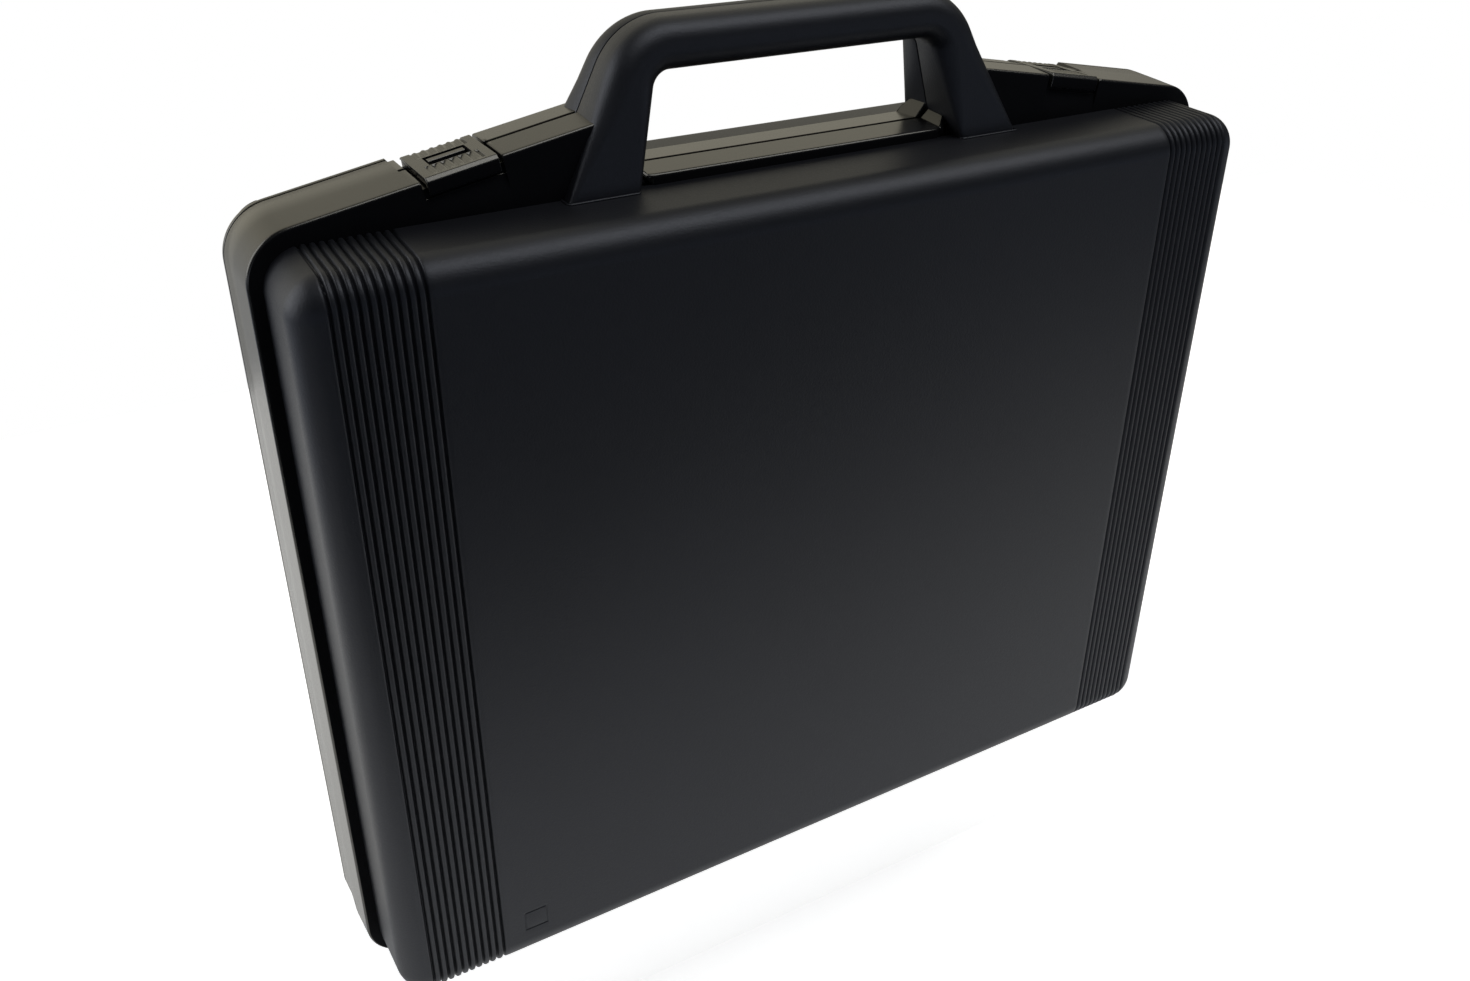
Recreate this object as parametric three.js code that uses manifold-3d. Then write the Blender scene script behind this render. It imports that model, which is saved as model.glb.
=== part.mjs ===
// Hard knife case: two moulded trays hinged along the bottom edge, each with half of the handle.
// Millimetres, +Z up. X runs along the case, Y = 0 is the parting plane and the lid faces -Y.
// The origin is on the floor, under the middle of the hinge edge that the case stands on.
import * as THREE from 'three';
import { mergeVertices } from 'three/addons/utils/BufferGeometryUtils.js';
import Module from 'manifold-3d';

const wasm = await Module();
wasm.setup();

// Trays
const trayWidth = 445;
const trayHeight = 349.6;
const trayLift = 5; // tray underside above the rim underside
const trayDepth = 55; // parting plane to outer face
const wall = 3;
const trayCorner = 16; // corner radius seen from the front
const trayEdge = 13.2; // rounding between the face and the four sides
const trayDraft = 0.7;

// Ribbed bands, cut as grooves that run over the tray's top and bottom edges
const grooveCount = 11;
const groovePitch = 3.33;
const grooveInset = 14; // from the tray's side to the outer groove
const grooveDepth = 1.1;
const grooveHalf = 1.6; // half width one millimetre above the surface

// Rim around both trays
const rimDepth = 16.7; // each side of the parting plane
const rimOverhang = 5.25; // beyond the tray's sides
const rimCorner = 21;
const roofRise = 44.4; // height over the tray where the two roof slopes would meet
const roofSlope = 0.18;
const rimDraft = 1; // extra half width at the parting plane
const skirtDraft = 1.7; // extra half width at the end of the lid's skirt
const skirtReach = 13.3; // the lid's skirt past the parting plane
const skirtFromCheek = 0.3; // from the rear tray's cheek beside a latch to the skirt
const skirtFoot = 27; // height at which the skirt starts
const stripRise = 4.3; // rim between the handle's legs, above the tray
const partingGap = 0.4;

// Handle, half in each tray
const handleRise = 62.2;
const barHeight = 19.3;
const gripHalf = 78.1; // half width between the legs at the tray
const gripLean = 0.293;
const legWidth = 30.2; // at the tray
const legLean = 0.5; // of the leg's outer side
const shoulderRadius = 30.2;
const gripRadius = 7.5;
const legDepth = 23.2; // parting plane to the lid half's face, at the foot
const legTaper = 0.107;
const rearRelief = 3.5; // the rear half is this much shallower
const footRound = 1.2;
const barRound = 8.5;
const roundHeight = 38; // height over the tray at which the full rounding is reached
const chamferX = 5;
const chamferZ = 6.2;
const stripInset = 6.4; // from the leg's inner side to the end of the full-depth strip
const stripRound = 5;

// Hinge on the bottom edge
const axisHeight = 4.5;
const openAngle = 100;
const knuckleRadius = 3.6;
const knuckleCount = 5;
const knuckleLength = 14;
const hingeFromSide = 92.5; // from the tray's side to the hinge's middle
const hingePinRadius = 1.5;
const fitGap = 0.3;
const knuckleGap = 0.4;
const railDepth = 6.5;
const railHeight = 11.5;

// Latches
const latchFromSide = 75.6; // from the tray's side to the latch's middle
const latchHalf = 14.1;
const latchFront = 17.5; // lip in front of the parting plane
const latchBack = 17;
const latchThick = 3;
const flapThick = 1.9;
const flapDrop = 6.5;
const barrelRadius = 4.4; // the latch's rear edge is rounded about its pin
const latchPinRadius = 1;
const latchGap = 1.8;
const latchCorner = 3; // bevel on the latch's two rear corners
const latchBorder = 3.8; // flat border on each side of the ribbed rows
const latchRibs = 6;
const lipBevel = 1.5; // slope along the front edge of the lip
const slotHalf = 8.4;
const cheekWide = 2; // the rear tray's cheeks, through which the pin runs

// Foam
const lidFoamThick = 18;
const baseFoamThick = 22;
const foamGap = 0.4;

// Worked-out places
const trayHalf = trayWidth / 2;
const trayTop = trayLift + trayHeight;
const rimHalf = trayHalf + rimOverhang;
const footHalf = gripHalf + legWidth;
const latchCentre = trayHalf - latchFromSide;
const hingeCentre = trayHalf - hingeFromSide;
const skirtStart = latchCentre + latchHalf + latchGap + cheekWide + skirtFromCheek;
const stripEnd = gripHalf - stripInset;
const roofPeak = trayTop + roofRise;
const tilt = Math.atan(roofSlope);
const stripTop = trayTop + stripRise;
const latchAxisY = latchBack - barrelRadius;
const handleTop = trayTop + handleRise;
const barUnder = handleTop - barHeight;
const seam = partingGap / 2;
const legStep = (footHalf + gripHalf) / 2 - 5; // where the rim's roof ends, inside the leg
const farOut = 300;
const arcSteps = 7;

// Solids and geometry

function solidFrom(geometry) {
  const bare = geometry.index ? geometry.toNonIndexed() : geometry.clone();
  for (const name of Object.keys(bare.attributes)) {
    if (name !== 'position') bare.deleteAttribute(name);
  }
  const merged = mergeVertices(bare, 1e-4);
  return new wasm.Manifold(new wasm.Mesh({
    numProp: 3,
    vertProperties: merged.attributes.position.array,
    triVerts: new Uint32Array(merged.index.array),
  }));
}

function geometryFrom(solid) {
  const mesh = solid.getMesh();
  const geometry = new THREE.BufferGeometry();
  geometry.setAttribute('position', new THREE.BufferAttribute(mesh.vertProperties, 3));
  geometry.setIndex(new THREE.BufferAttribute(mesh.triVerts, 1));
  geometry.computeVertexNormals();
  return geometry;
}

function join(...solids) {
  return solids.reduce((sum, solid) => sum.add(solid));
}

function block(x0, x1, y0, y1, z0, z1) {
  const geometry = new THREE.BoxGeometry(x1 - x0, y1 - y0, z1 - z0);
  geometry.translate((x0 + x1) / 2, (y0 + y1) / 2, (z0 + z1) / 2);
  return geometry;
}

// A prism of [y, z] points along X, of [x, z] points along Y, and of [x, y] points along Z.
function prism(points, from, to, right, up, along) {
  const shape = new THREE.Shape(points.map(([a, b]) => new THREE.Vector2(a, b)));
  const geometry = new THREE.ExtrudeGeometry(shape, { depth: to - from, bevelEnabled: false });
  geometry.translate(0, 0, from);
  return geometry.applyMatrix4(new THREE.Matrix4().makeBasis(right, up, along));
}

const X = new THREE.Vector3(1, 0, 0);
const Y = new THREE.Vector3(0, 1, 0);
const Z = new THREE.Vector3(0, 0, 1);

const prismX = (points, from, to) => prism(points, from, to, Y, Z, X);
const prismZ = (points, from, to) => prism(points, from, to, X, Y, Z);

function rodX(radius, x0, x1, y, z, sides = 20) {
  const geometry = new THREE.CylinderGeometry(radius, radius, x1 - x0, sides);
  geometry.rotateZ(Math.PI / 2);
  geometry.translate((x0 + x1) / 2, y, z);
  return geometry;
}

// A closed body through rings of the same number of points, capped at both ends.
function loft(rings) {
  const count = rings[0].length;
  const positions = rings.flat().flatMap((p) => [p.x, p.y, p.z]);
  const faces = [];
  for (let k = 0; k + 1 < rings.length; k++) {
    for (let i = 0; i < count; i++) {
      const a = k * count + i;
      const b = k * count + (i + 1) % count;
      faces.push(a, b, b + count, a, b + count, a + count);
    }
  }
  const flat = (ring) => ring.map((p) => new THREE.Vector2(p.x, p.z));
  const turned = THREE.ShapeUtils.isClockWise(flat(rings[0]));
  const last = (rings.length - 1) * count;
  for (const [a, b, c] of THREE.ShapeUtils.triangulateShape(flat(rings[0]), [])) {
    faces.push(...(turned ? [a, b, c] : [c, b, a]));
  }
  for (const [a, b, c] of THREE.ShapeUtils.triangulateShape(flat(rings.at(-1)), [])) {
    faces.push(...(turned ? [last + c, last + b, last + a] : [last + a, last + b, last + c]));
  }
  const backward = (rings.at(-1)[0].y > rings[0][0].y) !== turned;
  if (backward) faces.reverse();
  const geometry = new THREE.BufferGeometry();
  geometry.setAttribute('position', new THREE.Float32BufferAttribute(positions, 3));
  geometry.setIndex(faces);
  return geometry;
}

const ringAt = (points, y) => points.map(([x, z]) => new THREE.Vector3(x, y, z));

function arc(cx, cz, radius, from, to, steps = arcSteps) {
  return Array.from({ length: steps + 1 }, (unused, i) => {
    const angle = from + (to - from) * i / steps;
    return [cx + radius * Math.cos(angle), cz + radius * Math.sin(angle)];
  });
}

function mirrored(rightHalf) {
  const leftHalf = rightHalf.map(([x, z]) => [-x, z]).reverse();
  return [...rightHalf, ...leftHalf];
}

// Trays

function trayOutline(inset) {
  const half = trayHalf - inset;
  const radius = trayCorner - inset;
  const low = trayLift + inset + radius;
  const high = trayTop - inset - radius;
  return mirrored([
    ...arc(half - radius, low, radius, -Math.PI / 2, 0),
    ...arc(half - radius, high, radius, 0, Math.PI / 2),
  ]);
}

// Rings from the start, a distance from the parting plane, out to the face of the tray.
function trayBody(side, start, shrink, startDraft = 0) {
  const edge = trayEdge - shrink;
  const bend = trayDepth - trayEdge;
  const rings = [ringAt(trayOutline(shrink + startDraft), side * start)];
  for (let k = 0; k <= arcSteps; k++) {
    const angle = Math.PI / 2 * k / arcSteps;
    const inset = shrink + trayDraft + edge * (1 - Math.cos(angle));
    rings.push(ringAt(trayOutline(inset), side * (bend + edge * Math.sin(angle))));
  }
  return loft(rings);
}

// One V-shaped groove along the tray's section: over the top, down the face and under the bottom.
function groove(side, x) {
  const bend = trayDepth - trayEdge;
  const high = trayTop - trayDraft - trayEdge;
  const low = trayLift + trayDraft + trayEdge;
  const start = rimDepth + 0.5;
  const path = [[start, trayTop, 0, 1]];
  for (let k = 0; k <= arcSteps; k++) {
    const angle = Math.PI / 2 * (1 - k / arcSteps);
    const [c, s] = [Math.cos(angle), Math.sin(angle)];
    path.push([bend + trayEdge * c, high + trayEdge * s, c, s]);
  }
  for (let k = 0; k <= arcSteps; k++) {
    const angle = -Math.PI / 2 * k / arcSteps;
    const [c, s] = [Math.cos(angle), Math.sin(angle)];
    path.push([bend + trayEdge * c, low + trayEdge * s, c, s]);
  }
  path.push([start, trayLift, 0, -1]);
  const positions = [];
  for (const [y, z, ny, nz] of path) {
    for (const [dx, out] of [[-grooveHalf, 1], [0, -grooveDepth], [grooveHalf, 1]]) {
      positions.push(x + dx, side * (y + ny * out), z + nz * out);
    }
  }
  const faces = [0, 1, 2];
  for (let k = 0; k + 1 < path.length; k++) {
    for (let i = 0; i < 3; i++) {
      const a = 3 * k + i;
      const b = 3 * k + (i + 1) % 3;
      faces.push(b, a, a + 3, b, a + 3, b + 3);
    }
  }
  const end = positions.length / 3;
  faces.push(end - 1, end - 2, end - 3);
  if (side < 0) faces.reverse();
  const geometry = new THREE.BufferGeometry();
  geometry.setAttribute('position', new THREE.Float32BufferAttribute(positions, 3));
  geometry.setIndex(faces);
  return geometry;
}

function grooves(side) {
  const cutters = [];
  for (let i = 0; i < grooveCount; i++) {
    const x = trayHalf - grooveInset - i * groovePitch;
    cutters.push(solidFrom(groove(side, x)), solidFrom(groove(side, -x)));
  }
  return join(...cutters);
}

// Rim

function rimOutline(inset) {
  const half = rimHalf - inset;
  const radius = rimCorner - inset;
  const cornerX = rimHalf - rimCorner;
  const cornerZ = roofPeak - roofSlope * cornerX - rimCorner / Math.cos(tilt);
  const roof = (x) => roofPeak - roofSlope * x - inset / Math.cos(tilt);
  const step = legStep + inset;
  const rightHalf = [
    ...arc(half - radius, inset + radius, radius, -Math.PI / 2, 0),
    ...arc(cornerX, cornerZ, radius, 0, Math.PI / 2 - tilt),
    [step, roof(step)],
  ];
  if (inset > 0) return mirrored([...rightHalf, [step, stripTop - inset]]);
  const lean = gripHalf - gripLean * (stripRise + chamferZ);
  return mirrored([
    ...rightHalf,
    [step, stripTop + chamferZ],
    [lean, stripTop + chamferZ],
    [lean - chamferX, stripTop],
  ]);
}

// The rim swells to the parting plane: sideways and upwards, never below the floor.
function rimRing(y, swell) {
  const points = rimOutline(0).map(([x, z]) => [x * (1 + swell / rimHalf), z * (1 + swell / roofPeak)]);
  return ringAt(points, y);
}

const rimMiddle = solidFrom(loft([
  rimRing(-rimDepth, 0), rimRing(0, rimDraft), rimRing(rimDepth, 0),
]));
const rimOutboard = solidFrom(loft([
  rimRing(-rimDepth, 0), rimRing(0, rimDraft), rimRing(skirtReach, skirtDraft), rimRing(rimDepth, skirtDraft),
]));

function bothSides(x0, x1, y0, y1, z0, z1) {
  return join(solidFrom(block(x0, x1, y0, y1, z0, z1)), solidFrom(block(-x1, -x0, y0, y1, z0, z1)));
}

// Where the lid's skirt lies, grown or shrunk by half the parting gap.
function skirtSpace(grow, y0, y1) {
  return bothSides(skirtStart - grow, farOut, y0, y1, skirtFoot - grow, roofPeak);
}

function rimBody(side) {
  const front = solidFrom(block(-farOut, farOut, -farOut, -seam, -1, roofPeak + 2));
  const rear = solidFrom(block(-farOut, farOut, seam, farOut, -1, roofPeak + 2));
  const past = skirtReach + seam;
  let body;
  if (side < 0) {
    const skirt = skirtSpace(-seam, -farOut, skirtReach - seam);
    body = rimMiddle.intersect(front).add(rimOutboard.intersect(skirt));
  } else {
    body = rimMiddle.intersect(rear).subtract(skirtSpace(seam, -farOut, farOut));
    body = body.add(rimOutboard.intersect(skirtSpace(seam, past, farOut)));
  }
  return body.subtract(stripRelief(side));
}

// The strip between the legs stops short of them at the front, with a round corner.
function stripRelief(side) {
  const centreX = stripEnd - stripRound;
  const centreY = rimDepth - stripRound;
  const corner = arc(centreX, centreY, stripRound, Math.PI / 2, 0, 5);
  const outer = [[legStep - 2, centreY], [legStep - 2, rimDepth + 1], [centreX, rimDepth + 1]];
  const cutter = (mirror) => {
    const points = [...corner, ...outer].map(([x, y]) => [mirror * x, side * y]);
    return solidFrom(prismZ(points, trayTop, stripTop + chamferZ + 1));
  };
  return cutter(1).add(cutter(-1));
}

// Handle

function handleOutline(inset) {
  const low = trayTop - 1.6;
  const outer = (z) => footHalf - legLean * (z - trayTop) - inset * Math.hypot(1, legLean);
  const inner = (z) => gripHalf - gripLean * (z - trayTop) + inset * Math.hypot(1, gripLean);
  const legAngle = Math.atan2(legLean, 1);
  const gripAngle = Math.atan2(gripLean, 1);
  const top = handleTop - inset;
  const under = barUnder + inset;
  const bigRadius = shoulderRadius - inset;
  const smallRadius = gripRadius + inset;
  const bigZ = top - bigRadius;
  const bigX = outer(bigZ) - bigRadius * Math.hypot(1, legLean);
  const smallZ = under - smallRadius;
  const smallX = inner(smallZ) - smallRadius * Math.hypot(1, gripLean);
  const floor = inset > 0 ? trayTop + inset : low;
  const lift = [12, 24, roundHeight].map((rise) => trayTop + rise);
  const rise = [floor, ...lift.filter((z) => z < bigZ)];
  const fall = lift.filter((z) => z < smallZ).reverse();
  return mirrored([
    ...arc(smallX, smallZ, smallRadius, Math.PI / 2, gripAngle, 5),
    ...fall.map((z) => [inner(z), z]),
    [inner(floor), floor],
    ...rise.map((z) => [outer(z), z]),
    ...arc(bigX, bigZ, bigRadius, legAngle, Math.PI / 2, 8),
  ]);
}

// A half of the handle: straight sides from the parting plane, then a rounding that grows
// from the foot to the bar, and a face that leans back towards the bar.
function handleBody(side, start, shrink) {
  const outline = handleOutline(shrink);
  const count = outline.length;
  const reach = legDepth - shrink - (side > 0 ? rearRelief : 0);
  const depth = (z) => reach - legTaper * (z - trayTop);
  const round = (z) => {
    const share = Math.min(1, Math.max(0, (z - trayTop) / roundHeight));
    return Math.max(0.6, footRound + (barRound - footRound) * share - shrink);
  };
  const normals = outline.map(([x, z], i) => {
    const [ax, az] = outline[(i + count - 1) % count];
    const [bx, bz] = outline[(i + 1) % count];
    const length = Math.hypot(bx - ax, bz - az);
    return [(bz - az) / length, -(bx - ax) / length];
  });
  const area = outline.reduce((sum, [x, z], i) => {
    const [nextX, nextZ] = outline[(i + 1) % count];
    return sum + x * nextZ - nextX * z;
  }, 0);
  const outward = Math.sign(area);
  const rings = [ringAt(outline, side * start)];
  const steps = 5;
  for (let k = 0; k <= steps; k++) {
    const angle = Math.PI / 2 * k / steps;
    rings.push(outline.map(([x, z], i) => {
      const inset = round(z) * (1 - Math.cos(angle)) * outward;
      const px = x - normals[i][0] * inset;
      const pz = z - normals[i][1] * inset;
      const y = depth(pz) - round(z) * (1 - Math.sin(angle));
      return new THREE.Vector3(px, side * y, pz);
    }));
  }
  return loft(rings);
}

// Hinge

// Knuckles run from the outer end of each hinge; the odd ones belong to the lid.
function knuckles(side, radius, grow) {
  const rods = [];
  const span = knuckleCount * knuckleLength;
  for (const centre of [-hingeCentre, hingeCentre]) {
    for (let i = 0; i < knuckleCount; i++) {
      const lid = i % 2 === 1;
      if (lid !== side < 0) continue;
      const x0 = centre - span / 2 + i * knuckleLength;
      rods.push(solidFrom(rodX(radius, x0 - grow, x0 + knuckleLength + grow, 0, axisHeight)));
    }
  }
  return join(...rods);
}

// Under the axis both shells are cut back, so that they meet there when the lid is fully open.
function hingeRelief() {
  const half = Math.PI * (180 - openAngle) / 360 * 0.995;
  const reach = axisHeight / Math.tan(half);
  const low = -1;
  const wide = reach * (axisHeight - low) / axisHeight;
  return solidFrom(prismX([[0, axisHeight], [-wide, low], [wide, low]], -farOut, farOut));
}

function hingePins(centre) {
  const half = knuckleCount * knuckleLength / 2;
  return rodX(hingePinRadius, centre - half, centre + half, 0, axisHeight);
}

// Latches: a local frame on the roof, u down the slope, v across the case and w out of the roof

function latchFrame(hand) {
  const u = new THREE.Vector3(Math.cos(tilt), 0, -hand * Math.sin(tilt));
  const w = new THREE.Vector3(hand * Math.sin(tilt), 0, Math.cos(tilt));
  const origin = roofPeak + rimDraft - roofSlope * latchCentre;
  return new THREE.Matrix4().makeBasis(u, Y, w).setPosition(hand * latchCentre, 0, origin);
}

function latchPlate() {
  const half = latchHalf;
  const sunk = 0.9;
  const slot = [-4.7, 4.6];
  const bar = [-0.4, 3.6];
  const rows = [[-13.4, -5.3], [5.4, latchAxisY - 0.4]];
  const rowHalf = half - latchBorder;
  let plate = solidFrom(block(-half, half, -latchFront + lipBevel, latchBack, -latchThick, 0));
  const lip = [
    [-latchFront, -lipBevel], [-latchFront + lipBevel, 0], [-latchFront + flapThick, 0],
    [-latchFront + flapThick, -flapDrop], [-latchFront + 0.5, -flapDrop], [-latchFront, -flapDrop + 0.5],
  ];
  plate = plate.add(solidFrom(prismX(lip, -half, half)));
  const beadTop = -flapDrop + 0.9;
  plate = plate.add(solidFrom(block(
    -half + 3, half - 3, -latchFront + flapThick - 0.5, -latchFront + flapThick + 0.7, -flapDrop, beadTop,
  )));
  for (const [v0, v1] of rows) {
    plate = plate.subtract(solidFrom(block(-rowHalf, rowHalf, v0, v1, -sunk, 1)));
    const pitch = 2 * rowHalf / latchRibs;
    for (let i = 0; i < latchRibs; i++) {
      const u = -rowHalf + (i + 0.5) * pitch;
      plate = plate.add(solidFrom(block(u - 1.05, u + 1.05, v0 - 0.2, v1 + 0.2, -sunk - 0.3, -0.25)));
    }
  }
  plate = plate.subtract(solidFrom(block(-slotHalf, slotHalf, ...slot, -1.9, 1)));
  plate = plate.add(solidFrom(block(-slotHalf + 0.8, slotHalf - 0.8, ...bar, -2.2, -0.3)));
  plate = plate.subtract(solidFrom(block(-half - 1, half + 1, latchAxisY, latchBack + 1, -latchThick - 1, 1)));
  plate = plate.add(solidFrom(rodX(barrelRadius, -half, half, latchAxisY, -barrelRadius, 32)));
  for (const end of [-1, 1]) {
    const corner = [
      [end * (half - latchCorner), latchBack], [end * half, latchBack - latchCorner],
      [end * (half + 1), latchBack - latchCorner], [end * (half + 1), latchBack + 1],
      [end * (half - latchCorner), latchBack + 1],
    ];
    plate = plate.subtract(solidFrom(prismZ(corner, -2 * barrelRadius - 1, 1)));
  }
  const bore = rodX(latchPinRadius + fitGap, -half - 1, half + 1, latchAxisY, -barrelRadius);
  return plate.subtract(solidFrom(bore));
}

function latchPin() {
  const half = latchHalf + latchGap + cheekWide - 0.2;
  return rodX(latchPinRadius, -half, half, latchAxisY, -barrelRadius);
}

// What each shell gains and loses around one latch.
function latchSeat(side, hand) {
  const place = (geometry) => solidFrom(geometry.applyMatrix4(latchFrame(hand)));
  const half = latchHalf + latchGap;
  const seatY = latchFront - flapThick - 1; // inner face of the flap's recess
  const skin = 1.6; // blocks stay this far under the roof
  const sunk = latchThick + 0.5;
  const above = 4;
  if (side < 0) {
    const pad = place(block(-half - wall, half + wall, -rimDepth + 0.2, -seam, -sunk - 7, -skin));
    const plate = place(block(-half, half, -seatY, 1, -sunk, above));
    const flap = place(block(-half, half, -rimDepth - 2, -seatY, -flapDrop - 0.6, above));
    const nib = place(block(-half + 7, half - 7, -seatY - 0.6, -seatY + 0.5, -flapDrop + 1.3, -sunk + 0.2));
    return { pad, cut: plate.add(flap), nib };
  }
  const swing = barrelRadius + 0.6;
  const cheek = half + cheekWide;
  const depth = barrelRadius + swing + wall;
  const pad = place(block(-cheek, cheek, seam, rimDepth - 0.2, -depth, -skin));
  const plate = place(block(-half, half, -1, latchAxisY, -sunk, above));
  const back = place(block(-half, half, latchAxisY - 1, rimDepth + 6, -barrelRadius, above));
  const room = place(rodX(swing, -half, half, latchAxisY, -barrelRadius, 32));
  const bore = place(rodX(latchPinRadius + fitGap, -cheek - 1, cheek + 1, latchAxisY, -barrelRadius));
  return { pad, cut: join(plate, back, room, bore) };
}

// Shells

function shell(side) {
  const flange = rimDepth - wall;
  const rail = solidFrom(block(
    -rimHalf + rimCorner, rimHalf - rimCorner,
    ...(side < 0 ? [-railDepth, -seam] : [seam, railDepth]),
    wall - 1, railHeight,
  ));
  let outer = join(
    solidFrom(trayBody(side, flange - 1, 0)),
    rimBody(side),
  ).subtract(grooves(side));
  outer = outer.add(solidFrom(handleBody(side, seam, 0)));

  const rimRoom = solidFrom(loft([
    ringAt(rimOutline(wall), -flange), ringAt(rimOutline(wall), flange),
  ]));
  const trayRoom = solidFrom(trayBody(side, 0, wall));
  const handleRoom = solidFrom(handleBody(side, -1, wall));
  let body = outer.subtract(join(rimRoom, trayRoom, handleRoom));

  const seats = [-1, 1].map((hand) => latchSeat(side, hand));
  body = join(body, rail, ...seats.map((seat) => seat.pad));
  body = body.subtract(join(hingeRelief(), ...seats.map((seat) => seat.cut)));
  if (side < 0) body = join(body, ...seats.map((seat) => seat.nib));

  body = body.subtract(knuckles(-side, knuckleRadius + knuckleGap, knuckleGap));
  body = body.add(knuckles(side, knuckleRadius, 0));
  for (const centre of [-hingeCentre, hingeCentre]) {
    const half = knuckleCount * knuckleLength / 2 + 1;
    const bore = rodX(hingePinRadius + fitGap, centre - half, centre + half, 0, axisHeight);
    body = body.subtract(solidFrom(bore));
  }
  return body;
}

// Foam pad against the inner face of a tray, with the tray's own rounding on that side.
function foamPad(side, thickness) {
  const shrink = wall + foamGap;
  return trayBody(side, trayDepth - shrink - thickness, shrink, trayDraft);
}

// Materials and assembly

const shellPlastic = new THREE.MeshStandardMaterial({ color: 0x1c1d20, roughness: 0.5, metalness: 0 });
const latchPlastic = new THREE.MeshStandardMaterial({ color: 0x232426, roughness: 0.45, metalness: 0 });
const pinSteel = new THREE.MeshStandardMaterial({ color: 0xa9abae, roughness: 0.3, metalness: 1 });
const darkFoam = new THREE.MeshStandardMaterial({ color: 0x3a3c40, roughness: 0.95, metalness: 0 });

const knifeCase = new THREE.Group();

function addPiece(name, geometry, material, parent = knifeCase) {
  const mesh = new THREE.Mesh(geometry, material.clone());
  mesh.name = name;
  parent.add(mesh);
}

addPiece('front_shell', geometryFrom(shell(-1)), shellPlastic);
addPiece('rear_shell', geometryFrom(shell(1)), shellPlastic);
addPiece('lid_foam', foamPad(-1, lidFoamThick), darkFoam);
addPiece('base_foam', foamPad(1, baseFoamThick), darkFoam);

for (const [hand, name] of [[-1, 'left'], [1, 'right']]) {
  const latch = new THREE.Group();
  latch.applyMatrix4(latchFrame(hand));
  addPiece(`latch_${name}`, geometryFrom(latchPlate()), latchPlastic, latch);
  addPiece(`latch_pin_${name}`, latchPin(), pinSteel, latch);
  knifeCase.add(latch);
  addPiece(`hinge_pin_${name}`, hingePins(hand * hingeCentre), pinSteel);
}

export default knifeCase;
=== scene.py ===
import bpy
import bmesh
import numpy as np
from mathutils import Matrix, Vector


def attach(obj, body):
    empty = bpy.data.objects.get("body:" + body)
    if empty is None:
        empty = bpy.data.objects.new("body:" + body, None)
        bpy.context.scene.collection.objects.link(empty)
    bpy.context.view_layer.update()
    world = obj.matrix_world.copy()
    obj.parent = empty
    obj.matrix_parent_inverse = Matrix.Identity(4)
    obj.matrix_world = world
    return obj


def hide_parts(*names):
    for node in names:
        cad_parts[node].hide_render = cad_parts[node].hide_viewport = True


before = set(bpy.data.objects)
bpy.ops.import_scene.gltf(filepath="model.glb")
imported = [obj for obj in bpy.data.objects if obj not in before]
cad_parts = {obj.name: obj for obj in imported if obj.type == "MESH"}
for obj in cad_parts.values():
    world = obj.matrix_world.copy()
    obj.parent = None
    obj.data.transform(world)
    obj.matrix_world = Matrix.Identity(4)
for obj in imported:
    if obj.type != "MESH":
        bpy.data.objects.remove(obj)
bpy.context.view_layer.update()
scene = bpy.context.scene


# The stand: a white room and a table under white paper, on which the upright case stands, lit by two large
# soft lights. The case is near black and shows mostly what it mirrors, so the room's levels are set by that.
def to_linear(hex_colour):
    """Linear red, green, blue and 1 from an sRGB hex colour, by the sRGB curve."""
    srgb = np.array([int(hex_colour[i:i + 2], 16) / 255 for i in (1, 3, 5)])
    linear = np.where(srgb <= 0.04045, srgb / 12.92, ((srgb + 0.055) / 1.055) ** 2.4)
    return (*linear.tolist(), 1.0)


def add_node(tree, kind, inputs=None, **settings):
    """A node of the given kind, with its settings, and inputs given as values or as output sockets."""
    node = tree.nodes.new(kind)
    for key, value in settings.items():
        setattr(node, key, value)
    for key, value in (inputs or {}).items():
        if isinstance(value, bpy.types.NodeSocket):
            tree.links.new(value, node.inputs[key])
        else:
            node.inputs[key].default_value = value
    return node


def empty_tree(owner):
    """The node tree of a world or a material, switched on and emptied."""
    owner.use_nodes = True
    owner.node_tree.nodes.clear()
    return owner.node_tree


# The room is bright behind and above, for the rims' roofs, and low down at the far left, for the left side. In
# front it is dark but for a band at table height, for the handle's legs. Seen directly it is plain white.
BACK_WAY, FAR_LEFT_WAY = (0.25, 0.82, 0.5), (-0.6, 0.75, -0.3)
world = bpy.data.worlds.new("white_room")
scene.world = world
room = empty_tree(world)
room_ray = add_node(room, "ShaderNodeLightPath")
room_way = add_node(room, "ShaderNodeTexCoord").outputs["Generated"]
room_axes = add_node(room, "ShaderNodeSeparateXYZ", {0: room_way}).outputs
room_back = add_node(room, "ShaderNodeVectorMath", {0: room_way, 1: BACK_WAY},
                     operation="DOT_PRODUCT").outputs["Value"]
room_left = add_node(room, "ShaderNodeVectorMath", {0: room_way, 1: FAR_LEFT_WAY},
                     operation="DOT_PRODUCT").outputs["Value"]
back_level = add_node(room, "ShaderNodeMapRange", {
    "Value": room_back, "From Min": 0.5, "From Max": 0.95, "To Min": 0.05, "To Max": 0.63},
                      interpolation_type="SMOOTHSTEP")
above_level = add_node(room, "ShaderNodeMapRange", {
    "Value": room_axes["Z"], "From Min": -0.4, "From Max": -0.1, "To Min": 0.25},
                       interpolation_type="SMOOTHSTEP")
left_level = add_node(room, "ShaderNodeMapRange", {
    "Value": room_left, "From Min": 0.6, "From Max": 0.95, "To Min": 0.0, "To Max": 0.62})
front_level = add_node(room, "ShaderNodeMapRange", {
    "Value": room_axes["Y"], "From Min": 0.1, "From Max": -0.2, "To Max": 0.6},
                       interpolation_type="SMOOTHSTEP")
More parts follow.
